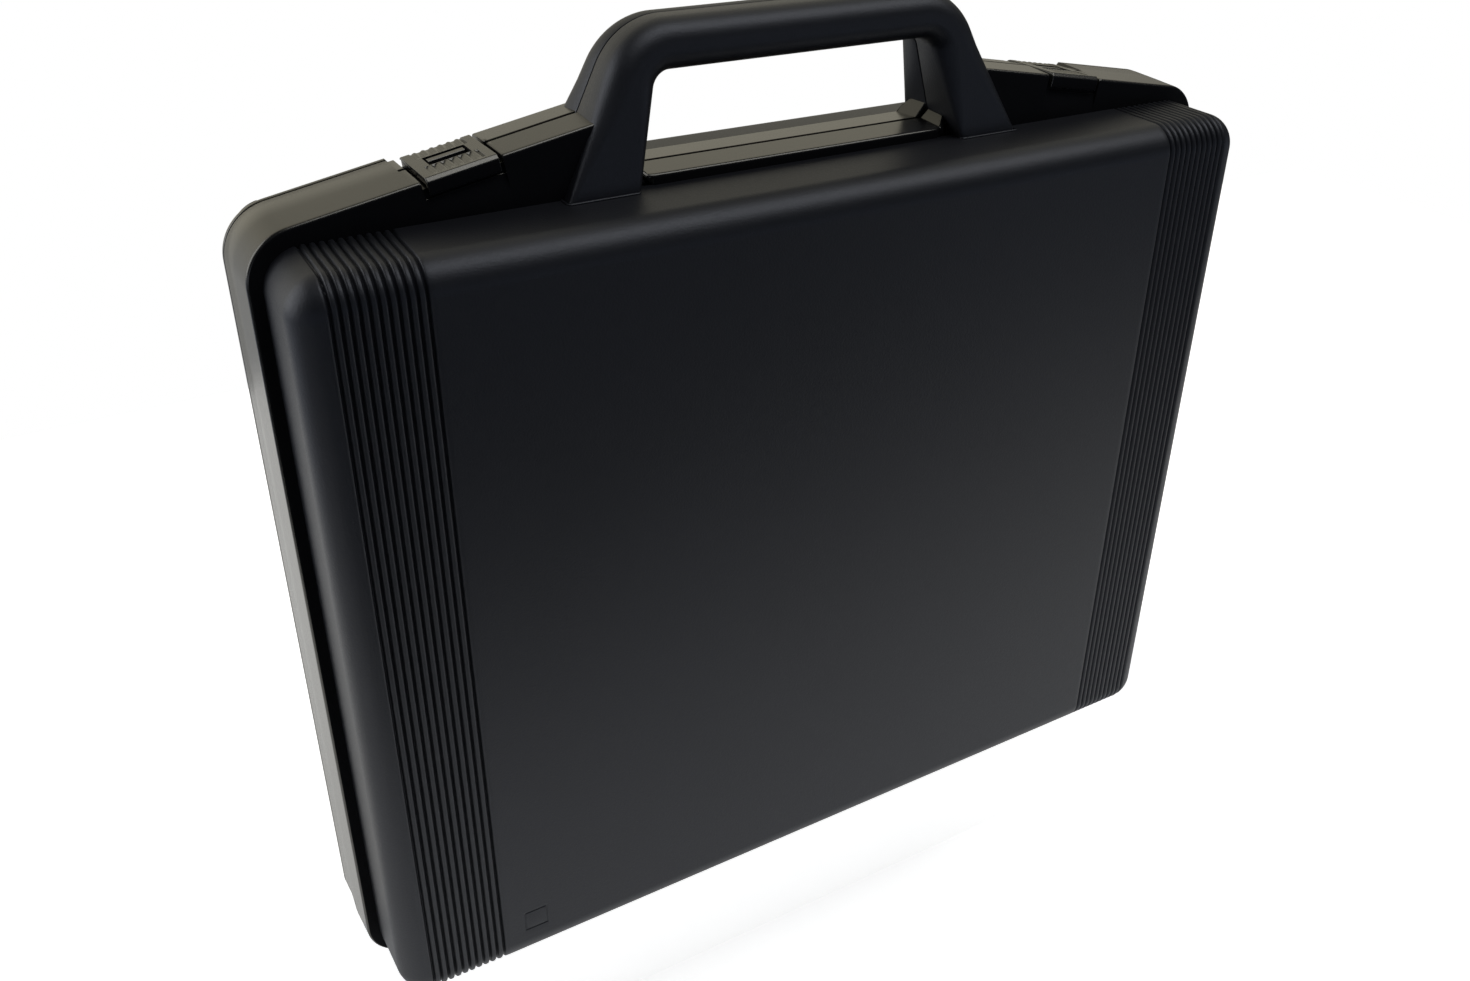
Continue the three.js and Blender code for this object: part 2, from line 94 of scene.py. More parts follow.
front_band = add_node(room, "ShaderNodeMath", {0: room_axes["Z"], 1: -0.13, 2: 0.11}, operation="COMPARE")
high_level = add_node(room, "ShaderNodeMath", {0: back_level.outputs[0], 1: above_level.outputs[0]},
                      operation="MULTIPLY")
far_level = add_node(room, "ShaderNodeMath", {0: high_level.outputs[0], 1: left_level.outputs[0]},
                     operation="ADD")
room_level = add_node(room, "ShaderNodeMath", {
    0: front_level.outputs[0], 1: front_band.outputs[0], 2: far_level.outputs[0]}, operation="MULTIPLY_ADD")
# Cool from the front and warm from behind, as the lid's face and the roofs are in the photograph.
room_warmth = add_node(room, "ShaderNodeMapRange", {"Value": room_back, "From Min": 0.1, "From Max": 0.8})
room_colour = add_node(room, "ShaderNodeMix", {
    0: room_warmth.outputs[0], 6: to_linear("#dfe8fb"), 7: to_linear("#fdf7e2")}, data_type="RGBA")
room_light = add_node(room, "ShaderNodeBackground", {
    "Color": room_colour.outputs[2], "Strength": room_level.outputs[0]})
room_white = add_node(room, "ShaderNodeBackground", {"Color": (1.0, 1.0, 1.0, 1.0), "Strength": 1.0})
room_mix = add_node(room, "ShaderNodeMixShader", {
    0: room_ray.outputs["Is Camera Ray"], 1: room_light.outputs[0], 2: room_white.outputs[0]})
add_node(room, "ShaderNodeOutputWorld", {"Surface": room_mix.outputs[0]})

# The base's foot stands on the front edge of the table, so that the lid has room to swing down before it.
# The paper also lies on the low ground in front, and its edges there run a little askew.
TABLE_LEFT, TABLE_RIGHT, TABLE_BACK, EDGE_Y, LOW_LEFT, LOW_Z = -0.62, 1.2, 0.64, 0.0085, -0.8, -0.13
floor_mesh = bpy.data.meshes.new("floor_sheet")
floor_mesh.from_pydata([
    (TABLE_LEFT, EDGE_Y, 0), (TABLE_RIGHT, EDGE_Y, 0),
    (TABLE_RIGHT, TABLE_BACK, 0), (TABLE_LEFT, TABLE_BACK, 0),
    (LOW_LEFT, EDGE_Y, LOW_Z), (TABLE_RIGHT, EDGE_Y, LOW_Z),
    (1.0, -0.58, LOW_Z), (LOW_LEFT, -0.37, LOW_Z)], [], [(0, 1, 2, 3), (4, 5, 1, 0), (7, 6, 5, 4)])
floor_sheet = bpy.data.objects.new("floor_sheet", floor_mesh)
scene.collection.objects.link(floor_sheet)

# Matt coated paper: no gloss, a shade under white, and lifted to white where it is seen or mirrored.
paper = bpy.data.materials.new("matt_white_paper")
sheet = empty_tree(paper)
paper_ray = add_node(sheet, "ShaderNodeLightPath")
paper_mirrored = add_node(sheet, "ShaderNodeMath", {0: paper_ray.outputs["Is Glossy Ray"], 1: 0.5},
                          operation="MULTIPLY")
paper_seen = add_node(sheet, "ShaderNodeMath", {
    0: paper_ray.outputs["Is Camera Ray"], 1: 0.86, 2: paper_mirrored.outputs[0]}, operation="MULTIPLY_ADD")
paper_shader = add_node(sheet, "ShaderNodeBsdfPrincipled", {
    "Base Color": to_linear("#f4f4f3"), "Roughness": 0.9, "Emission Color": (1.0, 1.0, 1.0, 1.0),
    "Emission Strength": paper_seen.outputs[0]})
add_node(sheet, "ShaderNodeOutputMaterial", {"Surface": paper_shader.outputs[0]})
floor_mesh.materials.append(paper)

for light_name, place, aim, wide, high, power in (
        ("top_softbox", (0.5, -0.34, 1.3), (0.5, 0, 0.2), 1.5, 0.6, 7.4),
        ("left_softbox", (-1.3, 0.5, 0.8), (0, 0, 0.15), 1.2, 1.2, 10.0)):
    lamp = bpy.data.lights.new(light_name, "AREA")
    lamp.shape = "RECTANGLE"
    lamp.size = wide
    lamp.size_y = high
    lamp.energy = power
    lamp_object = bpy.data.objects.new(light_name, lamp)
    lamp_object.location = place
    lamp_object.rotation_euler = (Vector(aim) - Vector(place)).to_track_quat("-Z", "Y").to_euler()
    scene.collection.objects.link(lamp_object)

# The photograph's viewpoint: from the front left and above, at arm's length, with a normal lens. Its axes,
# place, focal length and centre, the last two in pixels of the photograph, are from a fit to the case's edges.
PHOTO_WIDE, PHOTO_HIGH, SENSOR = 1470, 981, 36.0
FOCAL, CENTRE_X, CENTRE_Y = 1297.53, 727.11, 443.72
view_right = Vector((0.87136, -0.49063, 0.00214))
view_up = Vector((0.23520, 0.42153, 0.87578))
view_forward = Vector((0.43059, 0.76262, -0.48271))
view_place = Vector((-0.2888, -0.4637, 0.5123))
camera_data = bpy.data.cameras.new("photo_camera")
camera_data.sensor_width = SENSOR
camera_data.lens = FOCAL / PHOTO_WIDE * SENSOR
camera_data.shift_x = (PHOTO_WIDE / 2 - CENTRE_X) / PHOTO_WIDE
camera_data.shift_y = (CENTRE_Y - PHOTO_HIGH / 2) / PHOTO_WIDE
camera_data.clip_start = 0.01
camera = bpy.data.objects.new("photo_camera", camera_data)
view_axes = Matrix((view_right, view_up, -view_forward)).transposed().to_4x4()
camera.matrix_world = Matrix.Translation(view_place) @ view_axes
scene.collection.objects.link(camera)
scene.camera = camera
scene.view_settings.view_transform = "Standard"


# Lid and base trays: two deep trays injection moulded in black polypropylene with a fine spark-eroded grain,
# rounded where the face turns into the sides. Eleven moulded grooves near each end of the face run on over
# the top and bottom, and the lid's face has a faint square mould line low down at the left.
MM = 0.001
TRAY_HALF, TRAY_LOW, TRAY_TOP, TRAY_DEPTH = 222.5, 5.0, 354.6, 55.0
TRAY_CORNER, TRAY_EDGE, TRAY_DRAFT, WALL = 16.0, 13.2, 0.7, 3.0
FACE_CORNER = TRAY_CORNER - TRAY_DRAFT - TRAY_EDGE
RIM_DEPTH, OUTER_MOUTH, INNER_MOUTH = 16.7, 15.4, 13.7
GROOVE_LAST, GROOVE_PITCH, GROOVE_COUNT, GROOVE_DEPTH, GROOVE_HALF = 208.5, 3.33, 11, 1.5, 0.62
MARK_X, MARK_Z, MARK_HALF, MARK_LINE, MARK_DEPTH = -158.7, 30.3, 5.2, 0.3, 0.3


def grid_faces(rows, columns, close_rows=False, close_columns=False):
    """Quads of a grid of rows by columns points: each joins a point, the next in its row and the two below."""
    r = np.arange(rows if close_rows else rows - 1)[:, None]
    c = np.arange(columns if close_columns else columns - 1)[None, :]
    below, beside = (r + 1) % rows, (c + 1) % columns
    corners = np.broadcast_arrays(r * columns + c, r * columns + beside, below * columns + beside,
                                  below * columns + c)
    return np.stack(corners, -1).reshape(-1, 4)


def make_piece(name, parts, body, sharp_degrees=34.0):
    """A mesh from parts, each of points in millimetres and one or two tables of faces, riding on a body.

    Doubled points are merged and faces turned outwards. Edges that bend more than sharp_degrees stay crisp,
    and all others are shaded smooth.
    """
    mesh = bpy.data.meshes.new(name)
    points, faces, start = [], [], 0
    for part_points, *tables in parts:
        points.append(part_points.reshape(-1, 3))
        for table in tables:
            faces += (start + table).tolist()
        start += len(points[-1])
    mesh.from_pydata((np.concatenate(points) * MM).tolist(), [], faces)
    solid = bmesh.new()
    solid.from_mesh(mesh)
    bmesh.ops.remove_doubles(solid, verts=solid.verts, dist=2e-6)
    bmesh.ops.dissolve_degenerate(solid, edges=solid.edges, dist=1e-6)
    bmesh.ops.recalc_face_normals(solid, faces=solid.faces)
    solid.to_mesh(mesh)
    solid.free()
    mesh.polygons.foreach_set("use_smooth", np.ones(len(mesh.polygons), bool))
    mesh.set_sharp_from_angle(angle=np.radians(sharp_degrees))
    mesh.update()
    piece = bpy.data.objects.new(name, mesh)
    scene.collection.objects.link(piece)
    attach(piece, body)
    return piece


def plastic_material(name, colour, light_colour, roughness, grain, grain_height, mottle, gloss, gloss_colour):
    """Grained plastic. A noise of the grain's size in millimetres drives the bump, and a slow one the colour.

    The grain also moves the roughness by the mottle to either side.
    """
    material = bpy.data.materials.new(name)
    tree = empty_tree(material)
    place = add_node(tree, "ShaderNodeTexCoord").outputs["Object"]
    cloud = add_node(tree, "ShaderNodeTexNoise", {
        "Vector": place, "Scale": 9.0, "Detail": 3.0, "Roughness": 0.55})
    pits = add_node(tree, "ShaderNodeTexNoise", {
        "Vector": place, "Scale": 1 / (grain * MM), "Detail": 2.0, "Roughness": 0.6})
    cells = add_node(tree, "ShaderNodeTexVoronoi", {"Vector": place, "Scale": 0.7 / (grain * MM)},
                     feature="SMOOTH_F1")
    tone = add_node(tree, "ShaderNodeMapRange", {
        "Value": cloud.outputs[0], "From Min": 0.35, "From Max": 0.65})
    tint = add_node(tree, "ShaderNodeMix", {
        0: tone.outputs[0], 6: to_linear(colour), 7: to_linear(light_colour)}, data_type="RGBA")
    rough = add_node(tree, "ShaderNodeMapRange", {
        "Value": pits.outputs[0], "From Min": 0.3, "From Max": 0.7, "To Min": roughness - mottle,
        "To Max": roughness + mottle})
    height = add_node(tree, "ShaderNodeMath", {0: pits.outputs[0], 1: cells.outputs["Distance"]},
                      operation="ADD")
    bump = add_node(tree, "ShaderNodeBump", {
        "Height": height.outputs[0], "Strength": 0.5, "Distance": grain_height * MM})
    shader = add_node(tree, "ShaderNodeBsdfPrincipled", {
        "Base Color": tint.outputs[2], "Roughness": rough.outputs[0], "Normal": bump.outputs[0], "IOR": 1.49,
        "Specular IOR Level": gloss, "Specular Tint": to_linear(gloss_colour)})
    add_node(tree, "ShaderNodeOutputMaterial", {"Surface": shader.outputs[0]})
    return material


# Polypropylene, moulded in black: a neutral near-black that looks grey where light grazes its grain. The real
# grain is about 0.2 mm and is drawn three times as coarse, so that it shows.
shell_plastic = plastic_material("grained_black_polypropylene", "#0c0d10", "#111216", 0.46, 0.6, 0.08, 0.05,
                                 0.5, "#eef3ff")

# The tray is a core rectangle moved outwards. Its grid is fine across the grooves and the lid's mould line.
core_x, core_low, core_high = TRAY_HALF - TRAY_CORNER, TRAY_LOW + TRAY_CORNER, TRAY_TOP - TRAY_CORNER
groove_x = GROOVE_LAST - GROOVE_PITCH * np.arange(GROOVE_COUNT)
around_groove = np.array([-1.3, -1.0, -0.8, -0.6, -0.4, -0.2, 0, 0.2, 0.4, 0.6, 0.8, 1.0, 1.3,
                          GROOVE_PITCH / 2])
band_x = (groove_x[:, None] + around_groove).ravel()
around_mark = np.array([-0.7, -0.45, -0.2, 0.2, 0.45, 0.7])
tray_x = np.concatenate([band_x, -band_x, np.linspace(-172, 172, 29), [-core_x, core_x],
                         MARK_X - MARK_HALF + around_mark, MARK_X + MARK_HALF + around_mark])
tray_x = np.unique(np.round(tray_x[np.abs(tray_x) <= core_x], 3))
tray_z = np.unique(np.round(np.concatenate([
    np.linspace(core_low, core_high, 41), MARK_Z - MARK_HALF + around_mark,
    MARK_Z + MARK_HALF + around_mark]), 3))

# Round the tray's edge the rings lie closest together where the round runs out into the flat face.
fine_rho = np.array([4.4, 3.8, 3.3, 2.95, 2.7, 2.5, 2.33, 2.2])
fine_bends = np.arccos((fine_rho - FACE_CORNER) / TRAY_EDGE)
outer_bends = np.concatenate([np.linspace(0, fine_bends[0], 17)[:-1], fine_bends, [np.pi / 2]])
outer_flats = np.array([1.95, 1.8, 1.62, 1.4, 1.1, 0.7, 0.0])
inner_bends = np.linspace(0, np.pi / 2, 9)
inner_flats = np.array([FACE_CORNER, 0.0])


def groove_cut(x):
    """Depth below the panel at x: at each groove a bell, the exponential of minus the squared distance."""
    away = np.abs(np.abs(x)[..., None] - groove_x).min(-1)
    return GROOVE_DEPTH * np.exp(-(away / GROOVE_HALF) ** 2)


def mark_cut(side, x, z):
    """Depth of the lid's mould line, a square: full on the line and falling straight to nothing beside it."""
    square = np.maximum(np.abs(x - MARK_X), np.abs(z - MARK_Z))
    return (side < 0) * MARK_DEPTH * np.clip(1.6 - np.abs(square - MARK_HALF) / MARK_LINE, 0, 1)


def core_ring(across, up, steps):
    """Columns round the core rectangle, anticlockwise from its top right: the point and the outward angle.

    The sides have the points of across and up. At each corner the point stays and the angle turns in steps.
    """
    turn = np.linspace(0, np.pi / 2, steps + 2)[1:-1]
    xs, zs, angles = [], [], []
    for quarter, (x, z, corner_x, corner_z) in enumerate((
            (across[::-1], core_high, -core_x, core_high), (-core_x, up[::-1], -core_x, core_low),
            (across, core_low, core_x, core_low), (core_x, up, core_x, core_high)), 1):
        x, z = np.broadcast_arrays(x, z)
        xs += [x, np.full(steps, corner_x)]
        zs += [z, np.full(steps, corner_z)]
        angles += [np.full(len(x), quarter * np.pi / 2), quarter * np.pi / 2 + turn]
    return np.concatenate(xs), np.concatenate(zs), np.concatenate(angles)


def tray_skin(side, mouth, inset, bends, flats, carved):
    """Points of one skin of a tray, as rows of rings from its mouth to the face, and then the face's own grid.

    Each ring is the core rectangle moved outwards by rho. Down the side rho falls by the draft. Round the edge
    it is edge times the cosine of the bend, while the depth grows by edge times its sine. On the flat face it
    falls to nothing. Where the skin is carved, the grooves and the mould line sink it along its normal.
    """
    cx, cz, angle = core_ring(tray_x, tray_z, 55)
    edge = TRAY_EDGE - inset
    start = TRAY_DEPTH - TRAY_EDGE
    mouths = np.linspace(mouth, start, 5)[:-1]
    fall = TRAY_DRAFT * (mouths - RIM_DEPTH) / (start - RIM_DEPTH)
    rho = np.concatenate([TRAY_CORNER - inset - fall, FACE_CORNER + edge * np.cos(bends), flats])[:, None]
    depth = np.concatenate([mouths, start + edge * np.sin(bends), np.full(len(flats), start + edge)])[:, None]
    lean = np.concatenate([np.zeros(len(mouths)), bends, np.full(len(flats), np.pi / 2)])[:, None]
    x = cx + rho * np.cos(angle)
    z = cz + rho * np.sin(angle)
    cut = carved * (groove_cut(x) + np.where(lean > 1.5, mark_cut(side, x, z), 0))
    x = x - cut * np.cos(lean) * np.cos(angle)
    z = z - cut * np.cos(lean) * np.sin(angle)
    y = side * (depth - cut * np.sin(lean))
    gx, gz = np.meshgrid(tray_x, tray_z)
    gy = side * (start + edge - carved * (groove_cut(gx) + mark_cut(side, gx, gz)))
    return np.stack([x, y, z], -1), np.stack([gx, gy, gz], -1)


def make_tray(name, side, body):
    """A tray of even wall: the outer skin, the inner skin and a strip that joins them at the mouth."""
    parts = []
    mouth_rings = []
    for skin in ((OUTER_MOUTH, 0.0, outer_bends, outer_flats, 1),
                 (INNER_MOUTH, WALL, inner_bends, inner_flats, 0)):
        rings, face = tray_skin(side, *skin)
        parts.append((rings, grid_faces(rings.shape[0], rings.shape[1], close_columns=True)))
        parts.append((face, grid_faces(face.shape[0], face.shape[1])))
        mouth_rings.append(rings[0])
    strip = np.stack(mouth_rings)
    parts.append((strip, grid_faces(2, strip.shape[1], close_columns=True)))
    tray = make_piece(name, parts, body)
    tray.data.materials.append(shell_plastic)
    return tray


lid_tray = make_tray("lid_tray", -1, "lid")
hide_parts("front_shell")
base_tray = make_tray("base_tray", 1, "base")
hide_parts("rear_shell")


# Rims: the flange and wall moulded round each tray's mouth, of the same plastic. They rise to two low roofs
# beside the handle and drop to a narrow strip between its legs. The lid's rim laps over the base's at both
# ends, and both are pocketed for the latches. Underneath they are cut back from the hinge, so that they open.
RIM_HALF, RIM_CORNER, ROOF_PEAK, ROOF_SLOPE = 227.75, 21.0, 399.0, 0.18
RIM_ROUND, SEAM, TOP_SEAM, LIP_ROUND = 1.2, 0.25, 0.9, 0.35
SKIRT_REACH, SKIRT_FOOT, SKIRT_START, SKIRT_SHORT, STEP_ROOM = 13.3, 27.0, 165.1, 0.35, 0.45
LEG_STEP, STRIP_TOP, CHAMFER_X, CHAMFER_Z, CHAMFER_AT = 88.2, 358.9, 5.0, 6.2, 75.0
STRIP_END, STRIP_ROUND, CHAMFER_SLIDE, CHAMFER_SINK = 73.5, 5.0, 1.5, 2.8
LATCH_CENTRE, LATCH_HALF, LATCH_GAP, LATCH_BACK, BARREL, BARREL_GAP = 146.9, 14.1, 1.8, 17.0, 4.4, 0.6
POCKET_FLOOR, POCKET_FRONT, POCKET_SWING, POCKET_ROUND = 3.5, 7.1, (-34.9, -190.4), 1.7
BROW_ROUND, BROW_BACK, BROW_SPREAD, FLAP_DEPTH, FLANGE_FROM = 0.3, 1.2, 6.0, 14.6, 14.5
HINGE_HEIGHT, RELIEF_TOP, RELIEF, RAIL_HEIGHT, RAIL_DEPTH = 4.5, 4.85, 5.9, 11.5, 6.5
HINGE_CENTRE, KNUCKLE_LENGTH, KNUCKLE_COUNT, KNUCKLE_RADIUS, KNUCKLE_GAP = 130.0, 14.0, 5, 3.6, 0.4
RIM_FIELDS = ("x", "z", "nx", "nz", "tx", "tz", "cx", "cz", "skirt", "pocket", "soft", "back", "rail", "room",
              "slide", "sink")
tilt = np.arctan(ROOF_SLOPE)
pocket_in = LATCH_CENTRE - (LATCH_HALF + LATCH_GAP) * np.cos(tilt)
pocket_out = LATCH_CENTRE + (LATCH_HALF + LATCH_GAP) * np.cos(tilt)

# The same plastic off a polished part of the mould: satin, with next to no grain and a firmer, warmer gloss.
rim_plastic = plastic_material("satin_black_polypropylene", "#0b0b0c", "#0f0f0f", 0.25, 0.6, 0.006, 0.02,
                               0.85, "#fffdf4")
# A darker, quite matt copy of the same plastic, nearly without gloss: painted shade, so that the flanges' faces
# and the latches' flaps and slots stay black.
painted_shade_plastic = plastic_material("painted_shade_black_polypropylene", "#060607", "#08080a", 0.75, 0.6, 0.05, 0.05,
                                  0.12, "#eef3ff")


def knuckle_spans(side):
    """Start and end along the right hinge of each knuckle of one half: the odd ones are the lid's."""
    first = HINGE_CENTRE - KNUCKLE_COUNT * KNUCKLE_LENGTH / 2
    return [(first + i * KNUCKLE_LENGTH, first + (i + 1) * KNUCKLE_LENGTH) for i in range(KNUCKLE_COUNT)
            if (i % 2 == 1) == (side < 0)]


def rim_columns(side):
    """Columns round the rim: the right half from the foot's middle to the strip's, and its mirror image.

    The fields of a column are the outline's x and z, its outward normal, the matching point of the tray's
    outline with its own inward move, whether it has the skirt, the pocket, the foot's rail and room for a
    knuckle, a softening of the pocket's edge, the strip's set-back, and how far the lid's chamfer stands
    outwards and lower than the base's. The roof falls from its peak by its slope times x.
    """
    rows = []

    def add(x, z, normal, tray, inward, **more):
        rows.append([x, z, *normal, *tray, *inward, *(more.get(field, 0.0) for field in RIM_FIELDS[8:])])

    flat = RIM_HALF - RIM_CORNER
    foot = [(x, 0) for x in np.linspace(0, flat, 24)]
    for start, end in knuckle_spans(-side):
        start, end = start - KNUCKLE_GAP, end + KNUCKLE_GAP
        foot = [(x, room) for x, room in foot if not start - 0.5 < x < end + 0.5]
        foot += [(start, 0), (start + 1e-5, 1), ((start + end) / 2, 1), (end - 1e-5, 1), (end, 0)]
    for x, room in sorted(foot):
        add(x, 0, (0, -1), (x * core_x / flat, TRAY_LOW), (0, 1), rail=1, room=room)
    for a in np.linspace(-np.pi / 2, 0, 25):
        c, s = np.cos(a), np.sin(a)
        add(flat + RIM_CORNER * c, RIM_CORNER + RIM_CORNER * s, (c, s),
            (core_x + TRAY_CORNER * c, core_low + TRAY_CORNER * s), (-c, -s))
    add(RIM_HALF, SKIRT_FOOT, (1, 0), (TRAY_HALF, SKIRT_FOOT), (-1, 0))
    corner_z = ROOF_PEAK - ROOF_SLOPE * flat - RIM_CORNER / np.cos(tilt)
    for z, tray_at in zip(np.linspace(SKIRT_FOOT, corner_z, 30), np.linspace(SKIRT_FOOT, core_high, 30)):
        add(RIM_HALF, z, (1, 0), (TRAY_HALF, tray_at), (-1, 0), skirt=1)
    for share in np.linspace(0, 1, 25)[1:]:
        a, b = share * (np.pi / 2 - tilt), share * np.pi / 2
        add(flat + RIM_CORNER * np.cos(a), corner_z + RIM_CORNER * np.sin(a), (np.cos(a), np.sin(a)),
            (core_x + TRAY_CORNER * np.cos(b), core_high + TRAY_CORNER * np.sin(b)), (-np.cos(b), -np.sin(b)),
            skirt=1)

    def roof(x, **more):
        z = ROOF_PEAK - ROOF_SLOPE * x
        lean = np.interp(x, [LEG_STEP, pocket_in - 2, pocket_out + 1, flat], [0, 1, 1, 0])
        tray_at = min(x - lean * ROOF_SLOPE * (z - TRAY_TOP), core_x)
        add(x, z, (np.sin(tilt), np.cos(tilt)), (tray_at, TRAY_TOP), (0, -1), **more)

    for x in np.linspace(flat + RIM_CORNER * np.sin(tilt), SKIRT_START, 8)[1:]:
        roof(x, skirt=1)
    for x in (SKIRT_START, SKIRT_START - 0.5, pocket_out + 0.45):
        roof(x)
    for away, soft in ((0.16, 0.12), (0.0, 0.4)):
        roof(pocket_out + away, soft=soft)
    for x in np.linspace(pocket_out, pocket_in, 9):
        roof(x, pocket=1)
    for away, soft in ((0.0, 0.4), (0.16, 0.12), (0.45, 0.0), (1.0, 0.0), (POCKET_ROUND, 0.0)):
        roof(pocket_in - away, soft=soft)
    for x in np.linspace(pocket_in - POCKET_ROUND, LEG_STEP, 10)[1:]:
        roof(x)

    def top(x, z, normal=(0, 1), **more):
        add(x, z, normal, (x, TRAY_TOP), (0, -1), **more)

    def set_back(x):
        away = np.clip(x - (STRIP_END - STRIP_ROUND), 0, STRIP_ROUND)
        return STRIP_ROUND - np.sqrt(STRIP_ROUND ** 2 - away ** 2)

    chamfer_top = STRIP_TOP + CHAMFER_Z
    chamfer_end = CHAMFER_AT - CHAMFER_X
    slant = np.hypot(CHAMFER_X, CHAMFER_Z)
    slide, sink = (CHAMFER_SLIDE, CHAMFER_SINK) if side < 0 else (0, 0)
    top(LEG_STEP, chamfer_top, back=STRIP_ROUND, sink=sink)
    top(CHAMFER_AT, chamfer_top, back=STRIP_ROUND, sink=sink)
    for share in (0, 0.04, 0.5, 0.96, 1):
        x = CHAMFER_AT - CHAMFER_X * share
        top(x, chamfer_top - CHAMFER_Z * share, (-CHAMFER_Z / slant, CHAMFER_X / slant),
            back=set_back(x + slide * share), slide=slide * share, sink=sink * (1 - share))
    for share in (1, 0.75, 0.5, 0.25, 0):
        top(chamfer_end - 0.3 * (1 - share), STRIP_TOP, back=set_back(chamfer_end + slide * share),
            slide=slide * share)
    for x in np.linspace(chamfer_end - 1, 0, 12):
        top(x, STRIP_TOP, back=set_back(x))
    right = np.array(rows, float)
    left = right[::-1].copy()
    left[:, [RIM_FIELDS.index(field) for field in ("x", "nx", "tx", "cx", "slide")]] *= -1
    return np.concatenate([right, left])


def paint_faces(piece, material, choose):
    """Give a further material to the faces that choose picks by their centres, in millimetres, and normals."""
    mesh = piece.data
    centres, normals = np.empty(3 * len(mesh.polygons)), np.empty(3 * len(mesh.polygons))
    mesh.polygons.foreach_get("center", centres)
    mesh.polygons.foreach_get("normal", normals)
    chosen = choose(centres.reshape(-1, 3) / MM, normals.reshape(-1, 3))
    mesh.materials.append(material)
    mesh.polygons.foreach_set("material_index", chosen * (len(mesh.materials) - 1))


